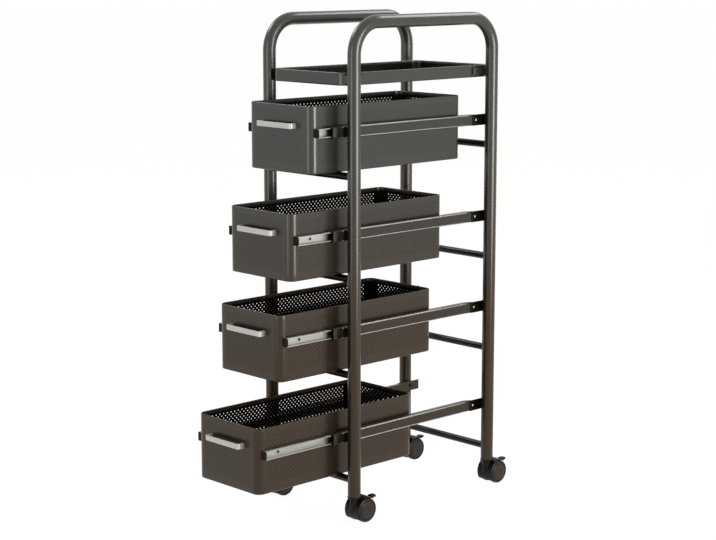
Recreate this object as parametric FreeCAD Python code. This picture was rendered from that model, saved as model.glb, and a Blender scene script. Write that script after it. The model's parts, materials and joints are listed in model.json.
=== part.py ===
import FreeCAD, Part
import math
import os

# Slim rolling cart. Millimetres, +Z up, +X to the right, the drawers open towards -Y.
# The origin is on the floor, midway between the four legs.

# Frame: two bent tubes, each from a front leg over the top to a rear leg
frame_width = 236.0
frame_depth = 375.0
frame_height = 961.0
tube_od = 25.0
tube_wall = 1.2
bend_radius = 60.0

# Cross bars between the two frames; the rear ones sit at their own heights above the drawer floors
bar_od = 14.0
bar_wall = 1.0
front_bar_gap = 0.6
rear_bar_rise = (26.0, -6.0, -9.5, -12.0)

# Top tray
tray_drop = 129.0
tray_height = 24.0
tray_sheet = 1.2
tray_corner = 19.0
tray_side_gap = 3.0
tray_front_reach = 10.5
tray_rear_reach = 12.5
tray_hem_height = 5.0

# Drawers, from the top one down, each standing open by its own amount
drawer_base = (672.0, 479.0, 294.5, 91.0)
drawer_open = (42.0, 93.0, 121.0, 175.0)
drawer_height = 125.5
drawer_sheet = 1.0
drawer_corner = 15.0
drawer_hem_height = 7.0
drawer_rear_gap = 4.5

# Handles
handle_length = 97.0
handle_reach = 15.0
handle_tall = 10.0
handle_grip = 2.5
handle_post = 6.0
handle_bend = 5.0
handle_above_base = 88.0
handle_edge = 0.5
handle_screw_depth = 8.0

# Slides: a rail on the legs, a runner on the drawer, and a cage of balls between them
slide_space = 18.0
slide_above_base = 76.0
rail_height = 22.0
rail_depth = 10.5
rail_sheet = 1.0
rail_bend = 3.0
rail_nose = 38.5
rail_tail = 24.0
rail_tab = 70.0
rail_tab_slope = 16.0
tab_hole_radius = 2.5
tab_hole_offset = 27.5
race_gap = 1.7
race_clearance = 0.15
runner_sheet = 1.2
runner_bend = 2.0
runner_room = 4.0
runner_start = 10.0
runner_end_gap = 8.0
ball_diameter = 2.4
ball_pitch = 15.0
cage_length = 100.0
cage_sheet = 0.5
cage_lip = 1.8
cage_front = 149.0
bumper_width = 10.0
bumper_tongue = 2.5
bumper_front_gap = 8.5

# Saddle brackets on the legs, and the screws and rivets
rail_bracket_plate = 2.5
rail_bracket_height = 16.0
rail_bracket_arm = 38.0
rail_bracket_sheet = 1.0
bracket_length = 20.0
bracket_wrap = 5.5
tray_bracket_height = 14.0
tray_bracket_arm = 40.0
tray_bracket_sheet = 2.5
tray_screw_offset = 28.0
screw_radius = 2.0
screw_head_radius = 3.8
screw_head = 1.8
screw_reach = 5.0
screw_clearance = 0.1
rivet_radius = 1.5
rivet_head_radius = 2.6
rivet_head = 1.0
rivet_inset = 37.0
rivet_count = 3

# Casters: twin wheels behind a swivel stem
wheel_diameter = 48.0
wheel_width = 13.0
wheel_edge = 3.5
wheel_dish = 1.0
wheel_dish_radius = 17.5
wheel_groove = 0.8
wheel_skin = 2.5
caster_trail = 19.0
hood_web = 10.0
hood_skin = 1.9
wheel_side_gap = 0.4
wheel_top_gap = 0.7
hood_core_radius = 19.0
hood_front_angle = 215.0
hood_rear_angle = 58.0
lug_angle = 25.0
boss_radius = 9.0
boss_above_wheel = 0.8
axle_radius = 3.0
axle_clearance = 0.05
stem_radius = 5.0
stem_clearance = 0.05
stem_seat = 16.0
stem_rise = 26.0
collar_radius = 8.0
collar_height = 1.0
swivel_gap = 0.4
socket_flange = 2.0
socket_flange_radius = 13.2
socket_length = 30.0

# Brake pedal, placed from the axle
pedal_pivot_back = 15.0
pedal_pivot_up = 14.0
pedal_pin_radius = 1.5
pedal_pin_clearance = 0.06
pedal_hub_radius = 3.6
pedal_thick = 4.2
pedal_side_gap = 0.3
pedal_arm = 12.0
pedal_arm_width = 5.0
pedal_arm_angle = 42.0
pedal_pad_width = 10.0
pedal_pad_length = 12.0
pedal_pad_thick = 4.5
pedal_swing = 18.0
pedal_slot_room = 0.7

# Places that follow from the sizes above, on the right-hand side
wheel_radius = wheel_diameter / 2
boss_top = wheel_diameter + boss_above_wheel
foot = boss_top + collar_height + swivel_gap + socket_flange
leg_x = frame_width / 2
leg_y = frame_depth / 2
leg_inner = leg_x - tube_od / 2
drawer_side = leg_inner - slide_space
drawer_front = -leg_y - rail_nose
drawer_rear = leg_y - bar_od / 2 - drawer_rear_gap
drawer_length = drawer_rear - drawer_front
rail_back = leg_inner - rail_bracket_plate
rail_web = rail_back - rail_sheet
rail_mouth = rail_back - rail_depth
rail_inner_half = rail_height / 2 - rail_sheet
rail_end = leg_y + rail_tail
runner_half = rail_inner_half - race_gap
runner_edge = rail_web - runner_room
ball_x = (rail_mouth + runner_edge) / 2
ball_z = runner_half + race_gap / 2
tray_side = leg_inner - tray_side_gap
tray_base = frame_height - tray_drop
corners = {
    "front_left": (-leg_x, -leg_y),
    "front_right": (leg_x, -leg_y),
    "rear_left": (-leg_x, leg_y),
    "rear_right": (leg_x, leg_y),
}
levels = list(zip(drawer_base, drawer_open, rear_bar_rise))


def point(x, y, z):
    return FreeCAD.Vector(x, y, z)


def block(x0, x1, y0, y1, z0, z1):
    return Part.makeBox(x1 - x0, y1 - y0, z1 - z0, point(x0, y0, z0))


def rod(radius, start, end):
    along = end - start
    return Part.makeCylinder(radius, along.Length, start, along)


def rod_x(radius, x0, x1, y, z):
    return rod(radius, point(x0, y, z), point(x1, y, z))


def mirrored(shape):
    return shape.mirror(point(0, 0, 0), point(1, 0, 0))


def flipped(shape):
    return shape.mirror(point(0, 0, 0), point(0, 1, 0))


def moved(shape, x, y, z):
    return shape.translated(point(x, y, z))


def both_sides(shape):
    return [shape, mirrored(shape)]


def plate_yz(points, x0, x1):
    wire = Part.makePolygon([point(x0, y, z) for y, z in points + points[:1]])
    return Part.Face(wire).extrude(point(x1 - x0, 0, 0))


def plate_xy(points, z0, z1):
    wire = Part.makePolygon([point(x, y, z0) for x, y in points + points[:1]])
    return Part.Face(wire).extrude(point(0, 0, z1 - z0))


# A block with its four upright edges rounded
def rounded_block(half_width, y0, y1, z0, z1, radius):
    solid = block(-half_width, half_width, y0, y1, z0, z1)
    upright = [e for e in solid.Edges if abs(e.Vertexes[0].Z - e.Vertexes[1].Z) > (z1 - z0) / 2]
    return solid.makeFillet(radius, upright)


# An open-topped sheet tub with a doubled hem round its mouth
def open_tub(half_width, y0, y1, z0, height, sheet, radius, hem):
    z1 = z0 + height
    tub = rounded_block(half_width, y0, y1, z0, z1, radius)
    room = rounded_block(half_width - sheet, y0 + sheet, y1 - sheet, z0 + sheet, z1 - hem, radius - sheet)
    inset = 2 * sheet
    mouth = rounded_block(half_width - inset, y0 + inset, y1 - inset, z0 + sheet, z1 + hem, radius - inset)
    return tub.cut(room.fuse(mouth))


def save(name, solids):
    shape = solids[0] if len(solids) == 1 else Part.makeCompound(solids)
    shape.exportStep(os.path.join("parts", name + ".step"))


# One leg, the two top bends and the other leg as a swept round section
def u_tube(radius, x):
    axis_top = frame_height - tube_od / 2
    turn = axis_top - bend_radius
    run = leg_y - bend_radius
    slant = bend_radius * math.sqrt(0.5)
    path = Part.Wire([
        Part.LineSegment(point(x, -leg_y, foot), point(x, -leg_y, turn)).toShape(),
        Part.Arc(point(x, -leg_y, turn), point(x, -run - slant, turn + slant), point(x, -run, axis_top)).toShape(),
        Part.LineSegment(point(x, -run, axis_top), point(x, run, axis_top)).toShape(),
        Part.Arc(point(x, run, axis_top), point(x, run + slant, turn + slant), point(x, leg_y, turn)).toShape(),
        Part.LineSegment(point(x, leg_y, turn), point(x, leg_y, foot)).toShape(),
    ])
    section = Part.Wire(Part.makeCircle(radius, point(x, -leg_y, foot), point(0, 0, 1)))
    return path.makePipeShell([section], True, False)


def rail_screw_holes():
    radius = screw_radius + screw_clearance
    heights = [base + slide_above_base for base in drawer_base]
    return [rod_x(radius, rail_web, leg_x, y, z) for z in heights for y in (-leg_y, leg_y)]


def right_frame():
    tube = u_tube(tube_od / 2, leg_x).cut(u_tube(tube_od / 2 - tube_wall, leg_x))
    return tube.cut(rail_screw_holes())


def leg_cylinders(radius):
    return [rod(radius, point(x, y, foot), point(x, y, frame_height)) for x, y in corners.values()]


def cross_bar(y, z):
    bar = rod_x(bar_od / 2, -leg_x, leg_x, y, z).cut(rod_x(bar_od / 2 - bar_wall, -leg_x, leg_x, y, z))
    return bar.cut(leg_cylinders(tube_od / 2))


def front_cross_bars():
    return [cross_bar(-leg_y, base - front_bar_gap - bar_od / 2) for base in drawer_base]


def rear_cross_bars():
    return [cross_bar(leg_y, base + rise) for base, _, rise in levels]


# Saddle on the inner side of a leg: flat towards the rail or tray, hollowed to the tube
def saddle(inner_x, y, z, height):
    body = block(inner_x, leg_inner + bracket_wrap, y - bracket_length / 2, y + bracket_length / 2,
                 z - height / 2, z + height / 2)
    return body.cut(rod(tube_od / 2, point(leg_x, y, z - height), point(leg_x, y, z + height)))


# A plain saddle on the front leg, and on the rear leg one with an arm along the rail's tab
def rail_saddles(z):
    front, rear = (saddle(rail_back, y, z, rail_bracket_height) for y in (-leg_y, leg_y))
    half = rail_height / 2
    arm_back = rail_back + rail_bracket_sheet
    arm = block(rail_back, arm_back, leg_y - rail_bracket_arm, leg_y, z - half, z + half)
    arm = arm.cut(rod_x(tab_hole_radius, rail_back, arm_back, leg_y - tab_hole_offset, z))
    return [front, rear.fuse(arm).removeSplitter()]


def rail_brackets():
    holes = rail_screw_holes()
    heights = [base + slide_above_base for base in drawer_base]
    right = [solid.cut(holes) for z in heights for solid in rail_saddles(z)]
    return right + [mirrored(solid) for solid in right]


def tray_bracket_middle():
    return tray_base + tray_height / 2


def tray_screw_y():
    return leg_y - tray_screw_offset


def tray_screw_hole():
    radius = screw_radius + screw_clearance
    return rod_x(radius, tray_side - 2 * tray_sheet, leg_inner, tray_screw_y(), tray_bracket_middle())


def tray_brackets():
    middle = tray_bracket_middle()
    half = tray_bracket_height / 2
    arm = block(tray_side, tray_side + tray_bracket_sheet, leg_y - tray_bracket_arm, leg_y, middle - half, middle + half)
    seat = saddle(tray_side, leg_y, middle, tray_bracket_height)
    tube = rod(tube_od / 2, point(leg_x, leg_y, middle - half), point(leg_x, leg_y, middle + half))
    rear = seat.fuse(arm).cut(tube).cut(tray_screw_hole()).removeSplitter()
    return both_sides(rear) + both_sides(flipped(rear))


def top_tray():
    front = -leg_y - tray_front_reach
    rear = leg_y + tray_rear_reach
    tray = open_tub(tray_side, front, rear, tray_base, tray_height, tray_sheet, tray_corner, tray_hem_height)
    hole = tray_screw_hole()
    return tray.cut(both_sides(hole) + both_sides(flipped(hole)))


# A pan-head screw along +X whose head bears on the face at x
def screw_x(x, length, y, z):
    return rod_x(screw_head_radius, x - screw_head, x, y, z).fuse(rod_x(screw_radius, x, x + length, y, z))


def rail_screws():
    length = rail_sheet + rail_bracket_plate + screw_reach
    heights = [base + slide_above_base for base in drawer_base]
    right = [screw_x(rail_web, length, y, z) for z in heights for y in (-leg_y, leg_y)]
    return right + [mirrored(solid) for solid in right]


def tray_screws():
    length = tray_sheet + tray_bracket_sheet
    rear = screw_x(tray_side - tray_sheet, length, tray_screw_y(), tray_bracket_middle())
    return both_sides(rear) + both_sides(flipped(rear))


# The grooves that the balls run in, cut into rail and runner alike
def race_grooves(y0, y1, z):
    radius = ball_diameter / 2 + race_clearance
    return [rod(radius, point(ball_x, y0, z + s * ball_z), point(ball_x, y1, z + s * ball_z)) for s in (-1, 1)]


# A long block whose two edges at its back are rounded, as a bent channel's are
def bent_bar(back, mouth, y0, y1, z, half, bend):
    bar = block(min(back, mouth), max(back, mouth), y0, y1, z - half, z + half)
    long_edges = [e for e in bar.Edges
                  if e.BoundBox.YLength > (y1 - y0) / 2 and abs(e.CenterOfMass.x - back) < abs(back - mouth) / 2]
    return bar.makeFillet(bend, long_edges)


# C-channel that opens towards the drawer; behind the channel its web runs on as a flat tab
def right_rail(z):
    half = rail_height / 2
    tab_start = rail_end - rail_tab
    channel = bent_bar(rail_back, rail_mouth, drawer_front, rail_end, z, half, rail_bend)
    room = bent_bar(rail_web, rail_mouth, drawer_front, rail_end, z, rail_inner_half, rail_bend - rail_sheet)
    flange_end = plate_xy([(rail_mouth, tab_start), (rail_web, tab_start + rail_tab_slope),
                           (rail_web, rail_end), (rail_mouth, rail_end)], z - half, z + half)
    radius = screw_radius + screw_clearance
    holes = [rod_x(radius, rail_web, rail_back, y, z) for y in (-leg_y, leg_y)]
    holes.append(rod_x(tab_hole_radius, rail_web, rail_back, leg_y - tab_hole_offset, z))
    return channel.cut([room, flange_end] + race_grooves(drawer_front, rail_end, z) + holes)


def rivet_places(front):
    first = front + runner_start + rivet_inset
    last = front + drawer_length - runner_end_gap - rivet_inset
    return [first + (last - first) * i / (rivet_count - 1) for i in range(rivet_count)]


def rivet_holes(front, z):
    return [rod_x(rivet_radius, drawer_side - drawer_sheet, drawer_side + runner_sheet, y, z)
            for y in rivet_places(front)]


def rivets(front, z):
    inside = drawer_side - drawer_sheet
    outside = drawer_side + runner_sheet
    solids = []
    for y in rivet_places(front):
        shank = rod_x(rivet_radius, inside - rivet_head, outside + rivet_head, y, z)
        heads = [rod_x(rivet_head_radius, outside, outside + rivet_head, y, z),
                 rod_x(rivet_head_radius, inside - rivet_head, inside, y, z)]
        solids += both_sides(shank.fuse(heads).removeSplitter())
    return solids


# The space inside a runner, as far out as mouth
def runner_space(mouth, y0, y1, z):
    inner = runner_half - runner_sheet
    return bent_bar(drawer_side + runner_sheet, mouth, y0, y1, z, inner, runner_bend - runner_sheet)


# C-channel on the drawer's side, open towards the leg
def right_runner(front, z):
    y0 = front + runner_start
    y1 = front + drawer_length - runner_end_gap
    channel = bent_bar(drawer_side, runner_edge, y0, y1, z, runner_half, runner_bend)
    return channel.cut([runner_space(runner_edge, y0, y1, z)] + race_grooves(y0, y1, z) + rivet_holes(front, z))


# Plastic clip pushed into the runner's front end
def right_bumper(front, z):
    y0 = front + bumper_front_gap
    y1 = front + runner_start
    mouth = drawer_side + bumper_width
    cap = bent_bar(drawer_side, mouth, y0, y1, z, runner_half, runner_bend)
    return cap.fuse(runner_space(mouth, y1, y1 + bumper_tongue, z)).removeSplitter()


# Bent strip round the runner that spaces the balls; it trails the drawer at half its travel
def right_ball_cage(opened, z):
    y1 = drawer_front + cage_front + cage_length - opened / 2
    y0 = y1 - cage_length
    web = runner_edge + cage_sheet
    outer = ball_z + cage_sheet / 2
    inner = ball_z - cage_sheet / 2
    strip = block(ball_x - cage_lip, web + cage_sheet, y0, y1, z - outer, z + outer)
    cage = strip.cut(block(ball_x - cage_lip, web, y0, y1, z - inner, z + inner))
    count = int(cage_length / ball_pitch)
    first = y0 + (cage_length - (count - 1) * ball_pitch) / 2
    balls = [Part.makeSphere(ball_diameter / 2, point(ball_x, first + i * ball_pitch, z + s * ball_z))
             for i in range(count) for s in (-1, 1)]
    return cage.fuse(balls)


def handle_post_x():
    return (handle_length - handle_post) / 2


def handle_screw_hole(front, z, x):
    return rod(screw_radius, point(x, front + drawer_sheet, z), point(x, front - handle_screw_depth, z))


def drawer_tub(front, base):
    tub = open_tub(drawer_side, front, front + drawer_length, base, drawer_height,
                   drawer_sheet, drawer_corner, drawer_hem_height)
    slide_holes = [hole for rivet_hole in rivet_holes(front, base + slide_above_base)
                   for hole in both_sides(rivet_hole)]
    post = handle_post_x()
    handle_holes = [handle_screw_hole(front, base + handle_above_base, x) for x in (-post, post)]
    return tub.cut(slide_holes + handle_holes)


# Flat strap bent back to the drawer front at both ends
def drawer_handle(front, z):
    low = z - handle_tall / 2
    high = z + handle_tall / 2
    half = handle_length / 2
    outer = rounded_block(half, front - handle_reach, front + handle_bend, low, high, handle_bend)
    inner = rounded_block(half - handle_post, front - handle_reach + handle_grip, front + handle_bend,
                          low, high, handle_bend - handle_grip)
    behind = block(-half, half, front, front + 2 * handle_bend, low, high)
    strap = outer.cut([inner, behind])
    rim = [e for e in strap.Edges
           if abs(e.BoundBox.ZLength) < handle_edge and e.BoundBox.YMin < front - handle_reach / 2]
    strap = strap.makeFillet(handle_edge, rim)
    post = handle_post_x()
    return strap.cut([handle_screw_hole(front, z, x) for x in (-post, post)])


def handle_screws(front, z):
    inside = front + drawer_sheet
    solids = []
    for x in (-handle_post_x(), handle_post_x()):
        head = rod(screw_head_radius, point(x, inside, z), point(x, inside + screw_head, z))
        shank = rod(screw_radius, point(x, inside, z), point(x, front - handle_screw_depth, z))
        solids.append(head.fuse(shank))
    return solids


# Plug in the foot of a leg, with a flange under the tube and a bore for the stem
def leg_socket(x, y):
    plug = rod(tube_od / 2 - tube_wall, point(x, y, foot), point(x, y, foot + socket_length))
    flange = rod(socket_flange_radius, point(x, y, foot - socket_flange), point(x, y, foot))
    bore = rod(stem_radius + stem_clearance, point(x, y, foot - socket_flange), point(x, y, foot + socket_length))
    return plug.fuse(flange).cut(bore)


# Caster pieces stand with the stem's axis on the origin and the wheels trailing towards +Y
def on_ring(radius, angle):
    turn = math.radians(angle)
    return (caster_trail + radius * math.cos(turn), wheel_radius + radius * math.sin(turn))


def ring_sector(r0, r1, a0, a1, half_width):
    middle = (a0 + a1) / 2
    edges = []
    corner = [point(-half_width, *on_ring(r, a)) for r, a in ((r1, a0), (r1, a1), (r0, a1), (r0, a0))]
    edges.append(Part.Arc(corner[0], point(-half_width, *on_ring(r1, middle)), corner[1]).toShape())
    edges.append(Part.LineSegment(corner[1], corner[2]).toShape())
    edges.append(Part.Arc(corner[2], point(-half_width, *on_ring(r0, middle)), corner[3]).toShape())
    edges.append(Part.LineSegment(corner[3], corner[0]).toShape())
    return Part.Face(Part.Wire(edges)).extrude(point(2 * half_width, 0, 0))


def wheel_outer_face():
    return hood_web / 2 + wheel_side_gap + wheel_width


def pedal_pivot():
    return (caster_trail + pedal_pivot_back, wheel_radius + pedal_pivot_up)


def from_pivot(radius, angle):
    y, z = pedal_pivot()
    turn = math.radians(angle)
    return (y + radius * math.cos(turn), z + radius * math.sin(turn))


# Room in the hood for the pedal's hub and for its arm over the whole swing
def pedal_slot():
    half = pedal_thick / 2 + pedal_side_gap
    clear = pedal_hub_radius + pedal_slot_room
    spread = math.degrees(math.asin((pedal_arm_width / 2 + pedal_slot_room) / clear))
    high = pedal_arm_angle + spread
    low = pedal_arm_angle - pedal_swing - spread
    reach = 2 * pedal_arm
    hub = rod_x(clear, -half, half, *pedal_pivot())
    sweep = plate_yz([pedal_pivot(), from_pivot(reach, low), from_pivot(reach, high)], -half, half)
    return hub.fuse(sweep)


def caster_hood():
    hood_radius = wheel_radius + wheel_top_gap + hood_skin
    hood_half = wheel_outer_face()
    web_half = hood_web / 2
    core = rod_x(hood_core_radius, -web_half, web_half, caster_trail, wheel_radius)
    inner_radius = hood_core_radius / 2
    web = ring_sector(inner_radius, hood_radius, lug_angle, hood_front_angle, web_half)
    arch = ring_sector(hood_core_radius, hood_radius, hood_rear_angle, hood_front_angle, hood_half)
    boss = rod(boss_radius, point(0, 0, wheel_radius), point(0, 0, boss_top))
    hood = core.fuse([web, arch, boss])
    clear = wheel_radius + wheel_top_gap
    room = rod_x(clear, web_half, hood_half + wheel_width, caster_trail, wheel_radius)
    axle_hole = rod_x(axle_radius, -web_half, web_half, caster_trail, wheel_radius)
    stem_hole = rod(stem_radius, point(0, 0, boss_top - stem_seat), point(0, 0, boss_top))
    hood = hood.cut([room, mirrored(room), axle_hole, stem_hole, pedal_slot()])
    return hood.fuse(rod_x(pedal_pin_radius, -web_half, web_half, *pedal_pivot())).removeSplitter()


def caster_stem():
    shank = rod(stem_radius, point(0, 0, boss_top - stem_seat), point(0, 0, foot + stem_rise))
    return shank.fuse(rod(collar_radius, point(0, 0, boss_top), point(0, 0, boss_top + collar_height)))


def axle_half():
    return wheel_outer_face() - wheel_skin - axle_clearance


def caster_axle():
    return rod_x(axle_radius, -axle_half(), axle_half(), caster_trail, wheel_radius)


# Tread with rounded edges, a groove round the outer face and a raised dish inside the groove
def right_wheel():
    x0 = hood_web / 2 + wheel_side_gap
    x1 = wheel_outer_face()
    tread = rod_x(wheel_radius, x0, x1 - wheel_dish, caster_trail, wheel_radius)
    outer_rim = [e for e in tread.Edges if e.BoundBox.XMin > x1 - wheel_dish - wheel_edge / 2]
    tread = tread.makeFillet(wheel_edge, outer_rim)
    dish = rod_x(wheel_dish_radius, x0, x1, caster_trail, wheel_radius)
    dish_rim = [e for e in dish.Edges if e.BoundBox.XMin > x1 - wheel_dish / 2]
    dish = dish.makeFillet(wheel_dish * 0.9, dish_rim)
    groove = rod_x(wheel_dish_radius + wheel_groove, x1 - wheel_dish - wheel_groove, x1, caster_trail, wheel_radius)
    bore = rod_x(axle_radius + axle_clearance, x0, x1 - wheel_skin, caster_trail, wheel_radius)
    return tread.cut(groove).fuse(dish).cut(bore).removeSplitter()


def brake_pedal():
    half = pedal_thick / 2
    y, z = pedal_pivot()
    hub = rod_x(pedal_hub_radius, -half, half, y, z)
    arm = block(-half, half, y, y + pedal_arm, z - pedal_arm_width / 2, z + pedal_arm_width / 2)
    arm.rotate(point(0, y, z), point(1, 0, 0), pedal_arm_angle)
    tip_y, tip_z = from_pivot(pedal_arm, pedal_arm_angle)
    pad = block(-pedal_pad_width / 2, pedal_pad_width / 2, tip_y - pedal_arm_width / 2,
                tip_y - pedal_arm_width / 2 + pedal_pad_length, tip_z - pedal_pad_thick, tip_z)
    bore = rod_x(pedal_pin_radius + pedal_pin_clearance, -half, half, y, z)
    return hub.fuse([arm, pad]).cut(bore).removeSplitter()


os.makedirs("parts", exist_ok=True)

right = right_frame()
save("right_frame", [right])
save("left_frame", [mirrored(right)])
save("front_cross_bars", front_cross_bars())
save("rear_cross_bars", rear_cross_bars())
save("slide_brackets", rail_brackets() + tray_brackets())
save("frame_screws", rail_screws() + tray_screws())
save("top_tray", [top_tray()])
save("leg_sockets", [leg_socket(x, y) for x, y in corners.values()])

for number, (base, opened, _) in enumerate(levels, start=1):
    slide_z = base + slide_above_base
    handle_z = base + handle_above_base
    front = drawer_front - opened
    save(f"slide_rails_{number}", both_sides(right_rail(slide_z)))
    save(f"ball_cages_{number}", both_sides(right_ball_cage(opened, slide_z)))
    save(f"drawer_{number}_tub", [drawer_tub(front, base)])
    save(f"drawer_{number}_handle", [drawer_handle(front, handle_z)])
    save(f"drawer_{number}_screws", handle_screws(front, handle_z) + rivets(front, slide_z))
    save(f"drawer_{number}_runners", both_sides(right_runner(front, slide_z)))
    save(f"drawer_{number}_bumpers", both_sides(right_bumper(front, slide_z)))

wheel = right_wheel()
caster = {
    "hood": caster_hood(),
    "stem": caster_stem(),
    "axle": caster_axle(),
    "right_wheel": wheel,
    "left_wheel": mirrored(wheel),
    "brake_pedal": brake_pedal(),
}
for corner, (x, y) in corners.items():
    for piece, shape in caster.items():
        save(f"{corner}_caster_{piece}", [moved(shape, x, y, 0)])
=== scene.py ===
import bpy
import json
import math
import numpy as np
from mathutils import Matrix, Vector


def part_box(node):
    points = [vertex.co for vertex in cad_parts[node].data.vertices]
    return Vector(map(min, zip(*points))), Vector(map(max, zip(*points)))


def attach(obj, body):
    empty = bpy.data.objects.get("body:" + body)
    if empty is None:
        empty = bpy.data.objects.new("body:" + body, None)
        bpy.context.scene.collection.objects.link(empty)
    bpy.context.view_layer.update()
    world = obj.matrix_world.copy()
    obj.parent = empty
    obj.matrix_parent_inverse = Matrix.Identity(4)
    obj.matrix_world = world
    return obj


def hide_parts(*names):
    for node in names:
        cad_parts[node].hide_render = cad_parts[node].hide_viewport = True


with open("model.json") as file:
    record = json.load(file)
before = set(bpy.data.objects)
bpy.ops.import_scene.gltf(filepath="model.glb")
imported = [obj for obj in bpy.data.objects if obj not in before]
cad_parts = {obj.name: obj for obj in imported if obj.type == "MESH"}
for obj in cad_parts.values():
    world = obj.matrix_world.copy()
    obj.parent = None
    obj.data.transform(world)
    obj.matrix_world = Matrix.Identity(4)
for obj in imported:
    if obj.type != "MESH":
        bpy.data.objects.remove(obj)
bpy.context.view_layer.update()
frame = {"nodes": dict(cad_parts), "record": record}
mm = 0.001
corners = ("front_left", "front_right", "rear_left", "rear_right")
print("frame loaded:", len(frame["nodes"]), "nodes")


# An sRGB hex colour as linear RGBA
def linear(hexColour):
    srgb = np.array([int(hexColour[i:i + 2], 16) for i in (1, 3, 5)]) / 255
    value = np.where(srgb <= 0.04045, srgb / 12.92, ((srgb + 0.055) / 1.055) ** 2.4)
    return (*value.tolist(), 1.0)


# Adds a shader node with its settings, its socket values and its links
def addNode(tree, kind, values=None, links=None, **settings):
    made = tree.nodes.new(kind)
    for name, value in settings.items():
        setattr(made, name, value)
    for name, value in (values or {}).items():
        made.inputs[name].default_value = value
    for name, socket in (links or {}).items():
        tree.links.new(socket, made.inputs[name])
    return made


def newMaterial(name):
    material = bpy.data.materials.new(name)
    material.use_nodes = True
    material.node_tree.nodes.clear()
    return material, material.node_tree


# Colour between two tones, each given as a share of the input and a hex colour
def addRamp(tree, share, low, high):
    ramp = addNode(tree, "ShaderNodeValToRGB", links={"Fac": share})
    for stop, (position, hexColour) in zip(ramp.color_ramp.elements, (low, high)):
        stop.position = position
        stop.color = linear(hexColour)
    return ramp.outputs["Color"]


# A number spread evenly about its middle value
def addSpread(tree, share, middle, spread):
    spreadNode = addNode(tree, "ShaderNodeMapRange", {"To Min": middle - spread, "To Max": middle + spread},
                         {"Value": share})
    return spreadNode.outputs["Result"]


# Powder coat on steel: a dark skin under a satin film, with a fine fleck and a faint orange peel. Skin and film
# run brown low down and greyer higher up: a painted reflection of a dimmer, browner floor mirrored low down.
# The eye gets walls that are dark by themselves and take their grey from the white room they mirror, so edges
# seen flat shine, and walls go black where they mirror a leg or each other.
# Where a piece carries the attribute "mask", the paint is darker and duller: painted shade for the dark inside
# a tub and in its holes' pits.
paintLook = {
    "low": {"height": 0.33, "body": "#241d15", "film": "#d1baa4"},
    "high": {"height": 0.73, "body": "#24241f", "film": "#f6f5f0"},
    "fleck": "#38332c", "pit": "#030303",
    "cloudSize": 60 * mm, "cloudSpread": 0.08,
    "fleckSize": 2.2 * mm,   # really about 0.1 mm, drawn coarse enough to show
    "fleckShare": 0.5, "fleckStops": (0.52, 0.75),
    "peelSize": 3.0 * mm,    # really about 1 mm, drawn coarse enough to show
    "peelHeight": 0.0015 * mm, "peelStrength": 0.5,
    "roughness": 0.25, "roughnessSpread": 0.03, "index": 1.65, "sheen": 0.5, "paintedShadeSheen": 0.05,
}
# Rails and cross bars keep the painted floor reflection, brown low down and greyer higher up; the bars have a
# darker skin and a much dimmer film
railLook = {
    **paintLook,
    "low": {**paintLook["low"], "film": "#b7a594"}, "high": {**paintLook["high"], "film": "#d5d4cf"},
}
barLook = {
    **paintLook, "fleck": "#1c1a17",
    "low": {"height": 0.33, "body": "#14110d", "film": "#6f675e"},
    "high": {"height": 0.73, "body": "#141411", "film": "#787670"},
}
# Dull black on the rails' brackets, painted shade for the dark where they meet the legs; those of the tray
# stand higher and are painted as the tray is
bracketLook = {
    **paintLook, "fleck": "#141312",
    "low": {"height": 0.78, "body": "#0c0a08", "film": "#504a43"},
    "high": {**paintLook["high"], "height": 0.8},
}


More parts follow.
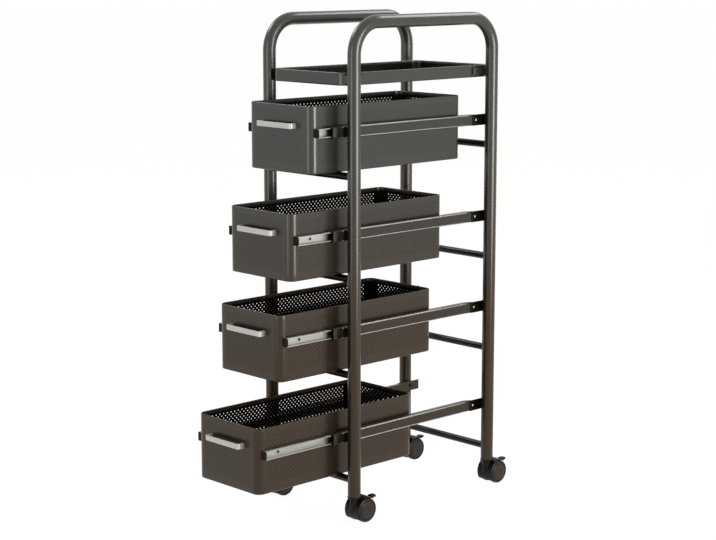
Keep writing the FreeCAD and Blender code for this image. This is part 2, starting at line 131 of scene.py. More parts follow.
def powderCoat(name, look):
    material, tree = newMaterial(name)
    low, high = look["low"], look["high"]
    fleckFrom, fleckTo = look["fleckStops"]
    place = addNode(tree, "ShaderNodeTexCoord").outputs["Object"]
    height = addNode(tree, "ShaderNodeSeparateXYZ", links={"Vector": place}).outputs["Z"]
    # Share of the high look by height: the low look's brown skin and film are a painted reflection of the
    # floor, and on the brackets the low look's black is painted shade
    rise = addNode(tree, "ShaderNodeMapRange", {"From Min": low["height"], "From Max": high["height"]},
                   {"Value": height}).outputs["Result"]
    cloud = addNode(tree, "ShaderNodeTexNoise", {"Scale": 1 / look["cloudSize"], "Detail": 3.0},
                    {"Vector": place})
    fleck = addNode(tree, "ShaderNodeTexNoise", {"Scale": 1 / look["fleckSize"], "Detail": 2.0},
                    {"Vector": place})
    peel = addNode(tree, "ShaderNodeTexNoise", {"Scale": 1 / look["peelSize"], "Detail": 1.0},
                   {"Vector": place})
    skin = addRamp(tree, rise, (0, low["body"]), (1, high["body"]))
    shade = addSpread(tree, cloud.outputs["Fac"], 1 - look["cloudSpread"], look["cloudSpread"])
    skin = addNode(tree, "ShaderNodeMix", {0: 1.0}, {6: skin, 7: shade},
                   data_type="RGBA", blend_type="MULTIPLY")
    spark = addNode(tree, "ShaderNodeMapRange",
                    {"From Min": fleckFrom, "From Max": fleckTo, "To Max": look["fleckShare"]},
                    {"Value": fleck.outputs["Fac"]})
    skin = addNode(tree, "ShaderNodeMix", {7: linear(look["fleck"])},
                   {0: spark.outputs["Result"], 6: skin.outputs[2]}, data_type="RGBA")
    paintedShadeShare = addNode(tree, "ShaderNodeAttribute", attribute_name="mask").outputs["Fac"]
    skin = addNode(tree, "ShaderNodeMix", {7: linear(look["pit"])}, {0: paintedShadeShare, 6: skin.outputs[2]},
                   data_type="RGBA")
    film = addRamp(tree, rise, (0, low["film"]), (1, high["film"]))
    sheen = addNode(tree, "ShaderNodeMapRange", {"To Min": look["sheen"], "To Max": look["paintedShadeSheen"]},
                    {"Value": paintedShadeShare})
    rough = addSpread(tree, cloud.outputs["Fac"], look["roughness"], look["roughnessSpread"])
    bump = addNode(tree, "ShaderNodeBump", {"Strength": look["peelStrength"], "Distance": look["peelHeight"]},
                   {"Height": peel.outputs["Fac"]})
    shader = addNode(tree, "ShaderNodeBsdfPrincipled", {"IOR": look["index"]},
                     {"Base Color": skin.outputs[2], "Specular Tint": film, "Roughness": rough,
                      "Specular IOR Level": sheen.outputs["Result"], "Normal": bump.outputs["Normal"]})
    addNode(tree, "ShaderNodeOutputMaterial", links={"Surface": shader.outputs["BSDF"]})
    return material


# What plated and moulded finishes share: where their two tones stand on the noise, and the spread of roughness
grainLook = {"darkStop": 0.3, "paleStop": 0.7, "roughnessSpread": 0.05}


# Plated steel strip: bright, with fine rolling lines along its length.
# The eye gets a pale satin band whose reflections are drawn out across the lines.
def platedSteel(name, look):
    material, tree = newMaterial(name)
    place = addNode(tree, "ShaderNodeTexCoord").outputs["Object"]
    lines = addNode(tree, "ShaderNodeMapping", {"Scale": look["lineScale"]}, {"Vector": place})
    grain = addNode(tree, "ShaderNodeTexNoise", {"Scale": 1 / look["lineWidth"], "Detail": 3.0},
                    {"Vector": lines.outputs["Vector"]}).outputs["Fac"]
    tone = addRamp(tree, grain, (grainLook["darkStop"], look["dark"]), (grainLook["paleStop"], look["pale"]))
    rough = addSpread(tree, grain, look["roughness"], grainLook["roughnessSpread"])
    bump = addNode(tree, "ShaderNodeBump", {"Strength": look["bump"], "Distance": look["lineDepth"]},
                   {"Height": grain})
    shader = addNode(tree, "ShaderNodeBsdfPrincipled", {"Metallic": look["metal"]},
                     {"Base Color": tone, "Roughness": rough, "Normal": bump.outputs["Normal"]})
    addNode(tree, "ShaderNodeOutputMaterial", links={"Surface": shader.outputs["BSDF"]})
    return material


# Moulded plastic with a spark-eroded texture: dark and dull, with a broad soft sheen.
# Where a piece carries the attribute "mask", that part takes the disc's colour and sheen.
def mouldedPlastic(name, look):
    material, tree = newMaterial(name)
    place = addNode(tree, "ShaderNodeTexCoord").outputs["Object"]
    grit = addNode(tree, "ShaderNodeTexNoise", {"Scale": 1 / look["gritSize"], "Detail": 2.0},
                   {"Vector": place}).outputs["Fac"]
    tone = addRamp(tree, grit, (grainLook["darkStop"], look["dark"]), (grainLook["paleStop"], look["pale"]))
    rough = addSpread(tree, grit, look["roughness"], grainLook["roughnessSpread"])
    if "disc" in look:
        onDisc = addNode(tree, "ShaderNodeAttribute", attribute_name="mask")
        mixed = addNode(tree, "ShaderNodeMix", {7: linear(look["disc"])}, {0: onDisc.outputs["Fac"], 6: tone},
                        data_type="RGBA")
        tone = mixed.outputs[2]
    bump = addNode(tree, "ShaderNodeBump", {"Strength": look["bump"], "Distance": look["gritDepth"]},
                   {"Height": grit})
    shader = addNode(tree, "ShaderNodeBsdfPrincipled",
                     {"IOR": look["index"], "Specular IOR Level": look["sheen"]},
                     {"Base Color": tone, "Roughness": rough, "Normal": bump.outputs["Normal"]})
    addNode(tree, "ShaderNodeOutputMaterial", links={"Surface": shader.outputs["BSDF"]})
    return material


steelLook = {
    "handle_steel": {"pale": "#cac9c5", "dark": "#b9b8b3", "metal": 0.5, "lineScale": (0.04, 1, 1),
                     "lineWidth": 1.2 * mm, "lineDepth": 0.02 * mm, "roughness": 0.4},
    "runner_zinc": {"pale": "#afaea8", "dark": "#9f9e98", "metal": 1.0, "lineScale": (1, 0.03, 1),
                    "lineWidth": 1.5 * mm, "lineDepth": 0.02 * mm, "roughness": 0.34},
    "screw_steel": {"pale": "#3a3835", "dark": "#2a2826", "metal": 1.0, "lineScale": (1, 1, 1),
                    "lineWidth": 1.0 * mm, "lineDepth": 0.02 * mm, "roughness": 0.35},
    "ball_steel": {"pale": "#8c8b88", "dark": "#787774", "metal": 1.0, "lineScale": (1, 1, 1),
                   "lineWidth": 1.0 * mm, "lineDepth": 0.01 * mm, "roughness": 0.25},
    "pin_steel": {"pale": "#8a8986", "dark": "#747370", "metal": 1.0, "lineScale": (1, 1, 1),
                  "lineWidth": 1.0 * mm, "lineDepth": 0.01 * mm, "roughness": 0.3},
}
plasticLook = {
    "bumper_plastic": {"pale": "#0f0e0e", "dark": "#0a0a09", "gritSize": 1.2 * mm, "gritDepth": 0.02 * mm,
                       "roughness": 0.5, "sheen": 0.12},
    "socket_plastic": {"pale": "#161413", "dark": "#100f0e", "gritSize": 1.2 * mm, "gritDepth": 0.02 * mm,
                       "roughness": 0.5, "sheen": 0.15},
    "caster_plastic": {"pale": "#110f0e", "dark": "#0b0a09", "gritSize": 1.5 * mm, "gritDepth": 0.03 * mm,
                       "roughness": 0.38, "sheen": 0.16},
    "wheel_plastic": {"pale": "#13110f", "dark": "#0d0c0b", "disc": "#2a1b11", "gritSize": 1.5 * mm,
                      "gritDepth": 0.03 * mm, "roughness": 0.28, "sheen": 0.3},
}
paints = {"frame_paint": paintLook, "tray_paint": paintLook, "drawer_paint": paintLook,
          "rail_paint": railLook, "bar_paint": barLook, "bracket_paint": bracketLook}
finishes = {name: powderCoat(name, look) for name, look in paints.items()}
finishes.update({name: platedSteel(name, {"bump": 0.3, **look}) for name, look in steelLook.items()})
finishes.update({name: mouldedPlastic(name, {"bump": 0.4, "index": 1.49, **look})
                 for name, look in plasticLook.items()})
slotOf = {part["node"]: part["material_slot"] for part in frame["record"]["subparts"]}
for nodeName, part in frame["nodes"].items():
    part.data.materials.clear()
    part.data.materials.append(finishes[slotOf[nodeName]])
print("finishes on CAD nodes:", len(finishes))


# A mesh piece from an array of points and arrays of faces, smooth where neighbours turn less than smoothAngle
def addPiece(name, points, faceSets, body, slotName, smoothAngle=32, mask=None):
    loops = np.concatenate([faces.ravel() for faces in faceSets]).astype(np.int32)
    sizes = np.concatenate([np.full(len(faces), faces.shape[1]) for faces in faceSets])
    starts = np.concatenate([[0], np.cumsum(sizes)[:-1]]).astype(np.int32)
    mesh = bpy.data.meshes.new(name)
    mesh.vertices.add(len(points))
    mesh.vertices.foreach_set("co", np.asarray(points, np.float32).ravel())
    mesh.loops.add(len(loops))
    mesh.loops.foreach_set("vertex_index", loops)
    mesh.polygons.add(len(starts))
    mesh.polygons.foreach_set("loop_start", starts)
    mesh.update(calc_edges=True)
    mesh.validate()
    mesh.shade_smooth()
    mesh.set_sharp_from_angle(angle=math.radians(smoothAngle))
    if mask is not None:
        mesh.attributes.new("mask", "FLOAT", "POINT").data.foreach_set("value", mask.astype(np.float32))
    mesh.materials.append(finishes[slotName])
    piece = bpy.data.objects.new(name, mesh)
    bpy.context.scene.collection.objects.link(piece)
    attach(piece, body)
    return piece


# Quads between neighbouring rows of an index table whose rows close on themselves
def ringFaces(rows):
    lower = rows[:-1]
    upper = rows[1:]
    quads = np.stack([lower, np.roll(lower, -1, 1), np.roll(upper, -1, 1), upper], 2)
    return quads.reshape(-1, 4)


# Quads of an open grid of (s, z) places: s along a row, z from row to row
def gridCells(alongs, heights):
    s, z = np.meshgrid(alongs, heights)
    corner = np.stack([s, z], 2)
    cells = np.stack([corner[:-1, :-1], corner[:-1, 1:], corner[1:, 1:], corner[1:, :-1]], 2)
    return cells.reshape(-1, 4, 2)


# Point and outward normal at the distance s round a rounded rectangle, anticlockwise from the left end of its
# front. On a straight run the normal stands still; on a corner it turns with s over the radius.
def roundedPath(s, halfWidth, front, rear, radius):
    runs = np.tile([2 * (halfWidth - radius), rear - front - 2 * radius], 2)
    lengths = np.stack([runs, np.full(4, radius * math.pi / 2)], 1).ravel()
    starts = np.concatenate([[0], np.cumsum(lengths)])
    part = np.clip(np.searchsorted(starts, s + 1e-9, side="right") - 1, 0, 7)
    along = s - starts[part]
    side = part // 2
    onCorner = part % 2 == 1
    turn = (side - 1) * math.pi / 2 + np.where(onCorner, along / radius, 0)
    normal = np.stack([np.cos(turn), np.sin(turn)], -1)
    tangent = np.stack([-normal[..., 1], normal[..., 0]], -1)
    inner = halfWidth - radius
    centres = np.array([(inner, front + radius), (inner, rear - radius),
                        (-inner, rear - radius), (-inner, front + radius)])
    centre = centres[np.where(onCorner, side, (side - 1) % 4)]
    point = centre + radius * normal + tangent * np.where(onCorner, 0, along)[..., None]
    return point, normal, starts


# Polygons in (s, z) that tile a field with diamonds, one round hole in each: rings of quads round the holes,
# and plain half and quarter diamonds along the field's edges
def perforation(s0, z0, columns, rows, look):
    pitch = look["holePitch"]
    parts = look["holeSides"] // 4
    step = np.arange(parts) / parts
    edge = np.stack([1 - step, step], 1)
    quarterTurn = np.array([[0, 1], [-1, 0]])
    outline = np.concatenate([edge @ np.linalg.matrix_power(quarterTurn, k) for k in range(4)]) * pitch / 2
    angle = np.arange(4 * parts) * math.pi / 2 / parts
    circle = np.stack([np.cos(angle), np.sin(angle)], 1) * look["holeRadius"]

    def lattice(columnPlaces, rowPlaces):
        s, z = np.meshgrid(columnPlaces, rowPlaces)
        return np.stack([s0 + s.ravel() * pitch, z0 + z.ravel() * pitch], 1)

    def slices(centres, first, last):
        return centres[:, None] + np.take(outline, range(first * parts, last * parts + 1), 0, mode="wrap")

    inColumns = np.arange(1, columns)
    inRows = np.arange(1, rows)
    centres = np.concatenate([lattice(np.arange(columns) + 0.5, np.arange(rows) + 0.5),
                              lattice(inColumns, inRows)])
    outer = centres[:, None] + outline
    hole = centres[:, None] + circle
    nextOuter = np.roll(outer, -1, 1)
    nextHole = np.roll(hole, -1, 1)
    polygons = [np.stack([outer, nextOuter, nextHole, hole], 2).reshape(-1, 4, 2)]
    polygons += [slices(lattice(inColumns, [0]), 0, 2), slices(lattice(inColumns, [rows]), 2, 4),
                 slices(lattice([0], inRows), 3, 5), slices(lattice([columns], inRows), 1, 3)]
    for place, first in (((0, 0), 0), ((columns, 0), 1), ((columns, rows), 2), ((0, rows), 3)):
        corner = lattice([place[0]], [place[1]])
        polygons.append(np.concatenate([corner[:, None], slices(corner, first, first + 1)], 1))
    return polygons, hole


# Quads between two rows of rings that match point for point
def holeWalls(near, far):
    walls = np.stack([near, np.roll(near, -1, 1), np.roll(far, -1, 1), far], 2)
    return walls.reshape(-1, 4)


# A sheet-metal tub: its wall is a strip in (s, z) wrapped round a rounded rectangle, with an outer and an inner
# skin, a hem folded over at the top and a bend at the bottom that runs into the floor
def sheetTub(name, node, body, slotName, look):
    low, high = (np.array(corner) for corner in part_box(node))
    halfWidth, front, rear = high[0], low[1], high[1]
    sheet, radius, bend = look["sheet"], look["corner"], look["bend"]
    starts = roundedPath(np.zeros(1), halfWidth, front, rear, radius)[2]
    arcSteps = np.linspace(0, 1, look["cornerSteps"] + 1)
    pitch = look["holePitch"]
    rows = look["holeRows"]
    wallTop = high[2] - look["plainTop"]
    wallBottom = wallTop - rows * pitch
    inner = np.arange(rows) + 0.5
    heights = wallBottom + pitch * np.concatenate([[0], inner, [rows]])
    polygons, holes, ends = [], [], []
    for side in range(4):
        start, end = starts[2 * side], starts[2 * side + 1]
        columns = int((end - start - 2 * look["sideMargin"]) / pitch)
        s0 = (start + end - columns * pitch) / 2
        ends.append((s0, s0 + columns * pitch))
        if look["holed"]:
            made, rims = perforation(s0, wallBottom, columns, rows, look)
            polygons += made
            holes.append(rims)
        else:
            polygons.append(gridCells(np.array([s0, s0 + columns * pitch]), heights))
    for side in range(4):
        fieldEnd = ends[side][1]
        fieldStart = ends[(side + 1) % 4][0] + (starts[-1] if side == 3 else 0)
        arc = starts[2 * side + 1] + arcSteps * radius * math.pi / 2
        polygons.append(gridCells(np.concatenate([[fieldEnd], arc, [fieldStart]]), heights))

    grain = 1e-7  # places closer than this are one vertex
    shapes = polygons + holes
    flat = np.concatenate([shape.reshape(-1, 2) for shape in shapes])
    keys = np.round(flat / grain).astype(np.int64)
    keys[:, 0] %= int(round(starts[-1] / grain))
    unique, inverse = np.unique(keys, axis=0, return_inverse=True)
    inverse = inverse.ravel()
    places = unique * grain
    count = len(places)
    splits = np.cumsum([shape.shape[0] * shape.shape[1] for shape in shapes])[:-1]
    indexed = [part.reshape(shape.shape[:2]) for part, shape in zip(np.split(inverse, splits), shapes)]
    faces = indexed[:len(polygons)]

    def wrapped(s, z, inset):
        point, normal, _ = roundedPath(s, halfWidth, front, rear, radius)
        return np.concatenate([point - normal * inset, np.broadcast_to(z, s.shape)[:, None]], 1)

    points = [wrapped(places[:, 0], places[:, 1], 0), wrapped(places[:, 0], places[:, 1], sheet)]
    faceSets = faces + [f[:, ::-1] + count for f in faces]
    used = 2 * count
    if holes:
        rim = np.concatenate(indexed[len(polygons):])
        through = np.repeat(look["through"], [len(rims) for rims in holes])
        faceSets.append(holeWalls(rim[through], rim[through] + count))
        pits = rim[~through]
        for outerRim, depth in ((pits, look["pitDepth"]), (pits + count, sheet - look["pitDepth"])):
            bottom = used + np.arange(pits.size).reshape(pits.shape)
            used += pits.size
            points.append(wrapped(places[pits, 0].ravel(), places[pits, 1].ravel(), depth))
            faceSets += [holeWalls(outerRim, bottom), bottom]

    def ringAt(z):
        found = np.flatnonzero(np.abs(places[:, 1] - z) < 10 * grain)
        return found[np.argsort(places[found, 0])]

    topRing = ringAt(wallTop)
    bottomRing = ringAt(wallBottom)
    along = places[topRing, 0]
    masked = used

    def profileRows(profile):
        nonlocal used
        rowIndex = used + np.arange(len(profile) * len(along)).reshape(len(profile), -1)
        used += rowIndex.size
        points.extend(wrapped(along, z, inset) for inset, z in profile)
        return rowIndex

    turn = np.radians(np.linspace(0, 180, look["hemSteps"]))
    fold = look["fold"]
    hem = [(fold * (1 - math.cos(a)), high[2] - fold + fold * math.sin(a)) for a in turn]
    hemEnd = high[2] - look["hemHeight"]
    lip = look["lipShare"] * sheet
    hem += [(2 * fold, hemEnd + lip), (2 * fold - lip, hemEnd), (sheet, hemEnd)]
    hemRows = np.concatenate([topRing[None], profileRows(hem), topRing[None] + count])
    turn = np.radians(np.linspace(0, 90, look["bendSteps"]))
    outside = [(bend - bend * math.cos(a), low[2] + bend - bend * math.sin(a)) for a in turn[::-1]]
    innerBend = bend - sheet
    inside = [(bend - innerBend * math.cos(a), low[2] + bend - innerBend * math.sin(a)) for a in turn]
    outsideRows = np.concatenate([profileRows(outside), bottomRing[None]])
    insideRows = np.concatenate([bottomRing[None] + count, profileRows(inside)])
    faceSets += [ringFaces(hemRows), ringFaces(outsideRows), ringFaces(insideRows),
                 outsideRows[:1, ::-1], insideRows[-1:]]
    # Painted shade: the inner skin takes insideShade and the pits take pitShade, darkening the paint where the
    # inside of a tub and its holes lie in shade
    mask = np.zeros(used)
    mask[count:2 * count] = look["insideShade"]
    mask[2 * count:masked] = look["pitShade"]
    piece = addPiece(name, np.concatenate(points), faceSets, body, slotName, mask=mask)
    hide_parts(node)


foldLook = {"cornerSteps": 14, "bend": 2.5 * mm, "hemSteps": 9, "bendSteps": 6, "lipShare": 0.25}
tubLook = {
    **foldLook, "sheet": 0.8 * mm, "corner": 15 * mm, "hemHeight": 7 * mm, "fold": 1.2 * mm,
    "plainTop": 8.6 * mm, "sideMargin": 2 * mm, "insideShade": 0.9,
    "holed": True, "holePitch": 9.2 * mm, "holeRows": 11, "holeRadius": 1.24 * mm, "holeSides": 8,
    "through": (False, False, True, True),  # front, right, rear and left wall; where False, pits on both sides
    "pitDepth": 0.35 * mm, "pitShade": 0.6,
}
for level in (1, 2, 3, 4):  # from the top one down
    sheetTub(f"drawer{level}Tub", f"drawer_{level}_tub", f"drawer_{level}", "drawer_paint", tubLook)
print("drawer tubs made")

trayLook = {
    **foldLook, "sheet": 1.2 * mm, "corner": 19 * mm, "hemHeight": 5 * mm, "fold": 1.4 * mm,
    "plainTop": 7 * mm, "sideMargin": 2 * mm, "insideShade": 0.6,
    "holed": False, "holePitch": 9.2 * mm, "holeRows": 1, "pitShade": 0,
}
sheetTub("trayPan", "top_tray", "frame", "tray_paint", trayLook)
print("tray made")


# Index table of one or more closed tubes of points, shaped (tubes, along, round), as quads;
# the tubes close both ways
def loopFaces(shape):
    tubes, along, around = shape
    index = np.arange(tubes * along * around).reshape(shape)
    ahead = np.roll(index, -1, 1)
    quads = np.stack([index, ahead, np.roll(ahead, -1, 2), np.roll(index, -1, 2)], 3)
    return quads.reshape(-1, 4)


# Weld beads where the cross bars meet the legs. Each follows the line where two cylinders meet: at the angle a
# round the bar it stands at the bar's surface, and as far in along the bar as the leg's circle reaches there.
# Its thickness swells and shrinks a little, as a row of weld ripples does.
weldLook = {
    "legX": 118 * mm, "legY": 187.5 * mm, "legRadius": 12.5 * mm, "barRadius": 7 * mm,
    "frontHeights": (664.4, 471.4, 286.9, 83.4), "rearHeights": (698, 473, 285, 79),  # bar axes in mm
    "thickness": 1.3 * mm, "ripple": 0.14, "ripples": 26, "steps": 156, "sides": 8,
}


def weldBeads(look):
    heights = np.array(look["frontHeights"] + look["rearHeights"]) * mm
    depths = np.repeat([-look["legY"], look["legY"]], 4)
    angle = np.arange(look["steps"]) * 2 * math.pi / look["steps"]
    out = np.stack([np.zeros_like(angle), np.cos(angle), np.sin(angle)], 1)
    inward = look["legX"] - np.sqrt(look["legRadius"] ** 2 - (look["barRadius"] * np.cos(angle)) ** 2)
    turn = np.arange(look["sides"]) * 2 * math.pi / look["sides"]
    thick = look["thickness"] * (1 + look["ripple"] * np.sin(look["ripples"] * angle))
    ring = out[:, None] * (look["barRadius"] + thick[:, None] * np.cos(turn))[..., None]
    ring[..., 0] += inward[:, None] - thick[:, None] * np.sin(turn)
    centres = np.stack([np.zeros(8), depths, heights], 1)
    right = ring[None] + centres[:, None, None]
    left = right[:, ::-1] * np.array([-1, 1, 1])
    points = np.concatenate([right, left])
    addPiece("weldBeads", points.reshape(-1, 3), [loopFaces(points.shape[:3])], "frame", "frame_paint", 60)


weldBeads(weldLook)
print("weld beads made")


# Faces of closed bodies whose points are shaped (bodies, rows, round): quads between rows, a cap at each end
def stackFaces(shape):
    index = np.arange(np.prod(shape)).reshape(shape)
    lower, upper = index[:, :-1], index[:, 1:]
    quads = np.stack([lower, np.roll(lower, -1, 2), np.roll(upper, -1, 2), upper], 3)
    return [quads.reshape(-1, 4), index[:, 0, ::-1], index[:, -1]]


# Block with rounded edges, from the corner that is low to the one that is high: a ball's points, each moved out
# to its own corner of the block that is left when the rounding is taken off
def roundedBlocks(lows, highs, rounding, steps):
    turn = np.arange(4 * steps) * 2 * math.pi / (4 * steps) + math.pi / (4 * steps)
    lift = np.radians(np.linspace(-90, 90, 2 * steps))[:, None]
    ball = np.stack([np.cos(lift) * np.cos(turn), np.cos(lift) * np.sin(turn), np.sin(lift) + 0 * turn], 2)
    middle = (lows + highs) / 2
    core = (highs - lows) / 2 - rounding
    points = middle[:, None, None] + ball[None] * rounding + np.sign(ball)[None] * core[:, None, None]
    return points.reshape(-1, 3), stackFaces(points.shape[:3])


slideHeights = np.array((748, 555, 370.5, 167)) * mm  # slide axes of the four drawers

# Nose windows: black plastic plates set in the outer side of each rail's front end, with its paint round them;
# their black is painted shade, standing in for the dark recess at each rail's nose
noseShadeLook = {
    "x": (102.4 * mm, 103.2 * mm), "y": (-218 * mm, -207.2 * mm),
    "halfHeight": 8.5 * mm, "rounding": 0.3 * mm, "steps": 4,
}
heights = np.tile(slideHeights, 2)
lows = np.stack([np.repeat([noseShadeLook["x"][0], -noseShadeLook["x"][1]], 4), np.full(8, noseShadeLook["y"][0]),
                 heights - noseShadeLook["halfHeight"]], 1)
highs = np.stack([np.repeat([noseShadeLook["x"][1], -noseShadeLook["x"][0]], 4), np.full(8, noseShadeLook["y"][1]),
                  heights + noseShadeLook["halfHeight"]], 1)
addPiece("noseShadeWindows", *roundedBlocks(lows, highs, noseShadeLook["rounding"], noseShadeLook["steps"]),
         "frame", "bumper_plastic")
print("nose windows made")


# Rail beads: bright half-round ridges along the upper and lower bend of each rail's outer side, a painted
# highlight in bright zinc for the light lines on the rail's rolled edges. Each is a round rod sunk to its
# middle in the side, with a radius that shrinks to almost nothing at both ends.
highlightBeadLook = {
    "x": 102.9 * mm, "y": (-204 * mm, 139 * mm), "rises": (9.0 * mm, -9.4 * mm),
    "radii": (1.15 * mm, 0.8 * mm), "sides": 16, "taper": 3 * mm, "swell": (0.1, 0.7, 1),
}


def railHighlightBeads(look):
    start, end = look["y"]
    along = np.array([start, start + look["taper"] / 3, start + look["taper"],
                      end - look["taper"], end - look["taper"] / 3, end])
    swell = np.array(look["swell"] + look["swell"][::-1])
    turn = -np.arange(look["sides"]) * 2 * math.pi / look["sides"]
    ring = np.stack([np.cos(turn), np.zeros_like(turn), np.sin(turn)], 1)
    rises = np.repeat(look["rises"], 4)
    radii = np.repeat(look["radii"], 4)
    right = ring[None, None] * (radii[:, None] * swell)[..., None, None]
    right = right + np.stack([np.full(6, look["x"]), along, np.zeros(6)], 1)[None, :, None]
    right[..., 2] += (np.tile(slideHeights, 2) + rises)[:, None, None]
    left = right[:, :, ::-1] * np.array([-1, 1, 1])
    points = np.concatenate([right, left])
    addPiece("railHighlightBeads", points.reshape(-1, 3), stackFaces(points.shape[:3]), "frame", "runner_zinc", 60)


railHighlightBeads(highlightBeadLook)
print("rail beads made")


# A solid of revolution about a line along X: the profile gives how far out along the line and how far from it
def turned(profile, centre, sign, steps):
    angle = np.arange(steps) * 2 * math.pi / steps
    along, radius = np.array(profile).T
    ring = np.stack([np.zeros_like(angle), np.cos(angle), np.sin(angle) * sign], 1)
    points = ring[None] * radius[:, None, None]
    points[..., 0] += sign * along[:, None]
    rows = np.arange(len(along) * steps).reshape(len(along), steps)
    return points.reshape(-1, 3) + centre, [ringFaces(rows), rows[:1, ::-1], rows[-1:]]


# Points of a quarter or other arc, from one angle to another in degrees
def arc(centre, radius, start, end, steps):
    turn = np.radians(np.linspace(start, end, steps))
    return np.stack([centre[0] + radius * np.cos(turn), centre[1] + radius * np.sin(turn)], 1)


# Caster wheels: a tread with a slight crown and round shoulders, a groove, and a raised disc with a dished hub
wheelLook = {
    "shoulder": 3.0 * mm, "shoulderLean": 10, "shoulderSteps": 7, "crown": 0.4 * mm, "treadSteps": 9,
    "groove": 0.9 * mm, "grooveTaper": 0.6, "discRadius": 17.8 * mm, "discEdge": 2.5 * mm, "discSteps": 6,
    "discRise": 0.9 * mm, "hubRadius": 6 * mm, "hubDip": 0.7 * mm,
    "pole": 0.3 * mm,  # radius of the flat spot at each end of the axis
    "steps": 96,
}


def casterWheel(name, node, body, sign, look):
    low, high = (np.array(corner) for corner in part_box(node))
    width = high[0] - low[0]
    radius = (high[2] - low[2]) / 2
    centre = np.array([low[0] if sign > 0 else high[0], (low[1] + high[1]) / 2, (low[2] + high[2]) / 2])
    shoulder, crown = look["shoulder"], look["crown"]
    face = width - look["discRise"]
    disc = look["discRadius"]
    edge = look["discEdge"]
    groove, pole, lean = look["groove"], look["pole"], look["shoulderLean"]
    shoulderHeight = radius - crown - shoulder
    inner = arc((shoulder, shoulderHeight), shoulder, 180, 90 + lean, look["shoulderSteps"])
    middle = np.linspace(shoulder, face - shoulder, look["treadSteps"])
    bulge = 1 - ((middle - middle.mean()) / (middle[-1] - middle.mean())) ** 2
    tread = np.stack([middle, radius - crown + crown * bulge], 1)
    outer = arc((face - shoulder, shoulderHeight), shoulder, 90 - lean, 0, look["shoulderSteps"])
    channel = [(face, disc + groove), (face - groove, disc + look["grooveTaper"] * groove),
               (face - groove, disc)]
    rim = arc((width - edge, disc - edge), edge, 90, 0, look["discSteps"])
    hub = [(width, look["hubRadius"] + look["hubDip"]), (width - look["hubDip"], look["hubRadius"]),
           (width - look["hubDip"], pole)]
    parts = [[(0, pole)], inner, tread, outer, channel, rim, hub]
    profile = np.concatenate([np.asarray(part) for part in parts])
    discParts = (False, False, False, False, False, True, True)
    isDisc = np.repeat(discParts, [len(part) for part in parts])
    points, faceSets = turned(profile, centre, sign, look["steps"])
    piece = addPiece(name, points, faceSets, body, "wheel_plastic", 35, np.repeat(isDisc, look["steps"]))
    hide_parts(node)


for corner in corners:
    for side, sign in (("left", -1), ("right", 1)):
        pieceName = f"wheel_{corner}_{side}".title().replace("_", "")
        casterWheel(pieceName[0].lower() + pieceName[1:], f"{corner}_caster_{side}_wheel",
                    f"{corner}_{side}_wheel", sign, wheelLook)
print("caster wheels made")


# 1 for rays that come from the eye, straight, off a shiny face or through glass, and 0 for the rest
def seenByEye(tree):
    path = addNode(tree, "ShaderNodeLightPath").outputs
    straight = addNode(tree, "ShaderNodeMath", links={0: path["Is Camera Ray"], 1: path["Is Glossy Ray"]},
                       operation="MAXIMUM")
    either = addNode(tree, "ShaderNodeMath", links={0: straight.outputs[0], 1: path["Is Transmission Ray"]},
                     operation="MAXIMUM")
    return either.outputs[0]


# A pale floor that glows for the eye, so that it is white and keeps a faint shadow
floorLook = {"reach": 30.0, "colour": "#f2efea", "glow": 1.07, "glowShare": 0.9}
floorMaterial, tree = newMaterial("white_floor")
share = addNode(tree, "ShaderNodeMath", {1: floorLook["glowShare"]}, {0: seenByEye(tree)},
                operation="MULTIPLY")
matt = addNode(tree, "ShaderNodeBsdfDiffuse", {"Color": linear(floorLook["colour"])})
glow = addNode(tree, "ShaderNodeEmission", {"Strength": floorLook["glow"]})
mixed = addNode(tree, "ShaderNodeMixShader",
                links={0: share.outputs[0], 1: matt.outputs["BSDF"], 2: glow.outputs["Emission"]})
addNode(tree, "ShaderNodeOutputMaterial", links={"Surface": mixed.outputs["Shader"]})
bpy.ops.mesh.primitive_plane_add(size=2 * floorLook["reach"])
floor = bpy.context.object
floor.name = "floor"
floor.data.materials.append(floorMaterial)

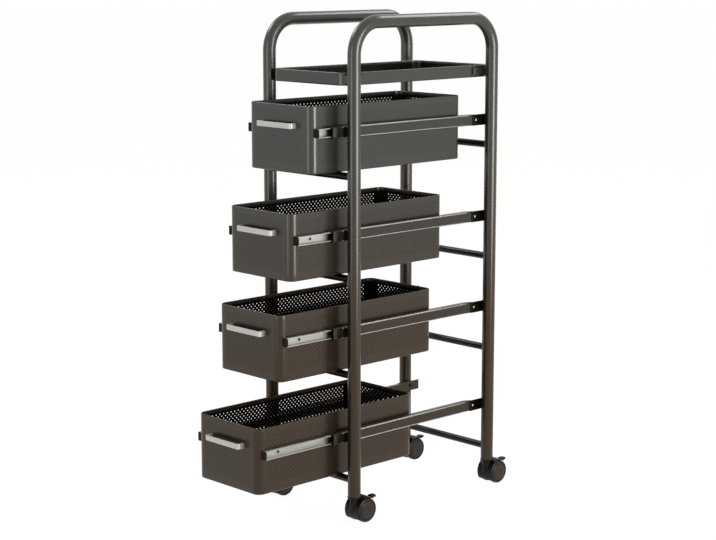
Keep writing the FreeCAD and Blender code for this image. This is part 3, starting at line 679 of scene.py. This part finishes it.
# White room: full strength for the eye, weaker as a fill light
roomLook = {"fill": 0.35}
world = bpy.data.worlds.new("white_room")
bpy.context.scene.world = world
world.use_nodes = True
tree = world.node_tree
tree.nodes.clear()
strength = addNode(tree, "ShaderNodeMapRange", {"To Min": roomLook["fill"], "To Max": 1.0},
                   {"Value": seenByEye(tree)})
room = addNode(tree, "ShaderNodeBackground", {"Color": (1, 1, 1, 1)},
               {"Strength": strength.outputs["Result"]})
addNode(tree, "ShaderNodeOutputWorld", links={"Surface": room.outputs["Background"]})

# Soft boxes: one to the right gives the bright streak on the legs, one in front the faint one,
# and two high ones draw the light lines along rails and rims
lampLook = {
    "rightBox": {"place": (2.05, 0.2, 0.87), "aim": 0.87, "size": (0.95, 1.5), "power": 38},
    "frontBox": {"place": (0.1, -2.4, 0.9), "aim": 0.9, "size": (0.8, 1.6), "power": 10},
    "rearTop": {"place": (0.4, 2.2, 2.9), "aim": 0.6, "size": (1.6, 0.8), "power": 24},
    "leftTop": {"place": (-1.9, -0.7, 2.6), "aim": 0.6, "size": (1.2, 0.8), "power": 20},
}
for name, look in lampLook.items():
    lampData = bpy.data.lights.new(name, "AREA")
    lampData.shape = "RECTANGLE"
    lampData.size, lampData.size_y = look["size"]
    lampData.energy = look["power"]
    lamp = bpy.data.objects.new(name, lampData)
    lamp.location = look["place"]
    x, y, z = look["place"]
    lamp.rotation_euler = (math.atan2(math.hypot(x, y), z - look["aim"]), 0, math.atan2(-x, y) + math.pi)
    bpy.context.scene.collection.objects.link(lamp)

cameraLook = {"place": (2.4734, -2.4301, 1.0646), "yaw": 46.28, "pitch": 10.01, "lens": 89.05, "sensor": 36.0}
cameraData = bpy.data.cameras.new("camera")
cameraData.lens = cameraLook["lens"]
cameraData.sensor_width = cameraLook["sensor"]
camera = bpy.data.objects.new("camera", cameraData)
camera.location = cameraLook["place"]
camera.rotation_euler = (math.radians(90 - cameraLook["pitch"]), 0, math.radians(cameraLook["yaw"]))
bpy.context.scene.collection.objects.link(camera)
bpy.context.scene.camera = camera
bpy.context.scene.view_settings.view_transform = "Standard"
print("floor, light and camera set")

print("scene ready")
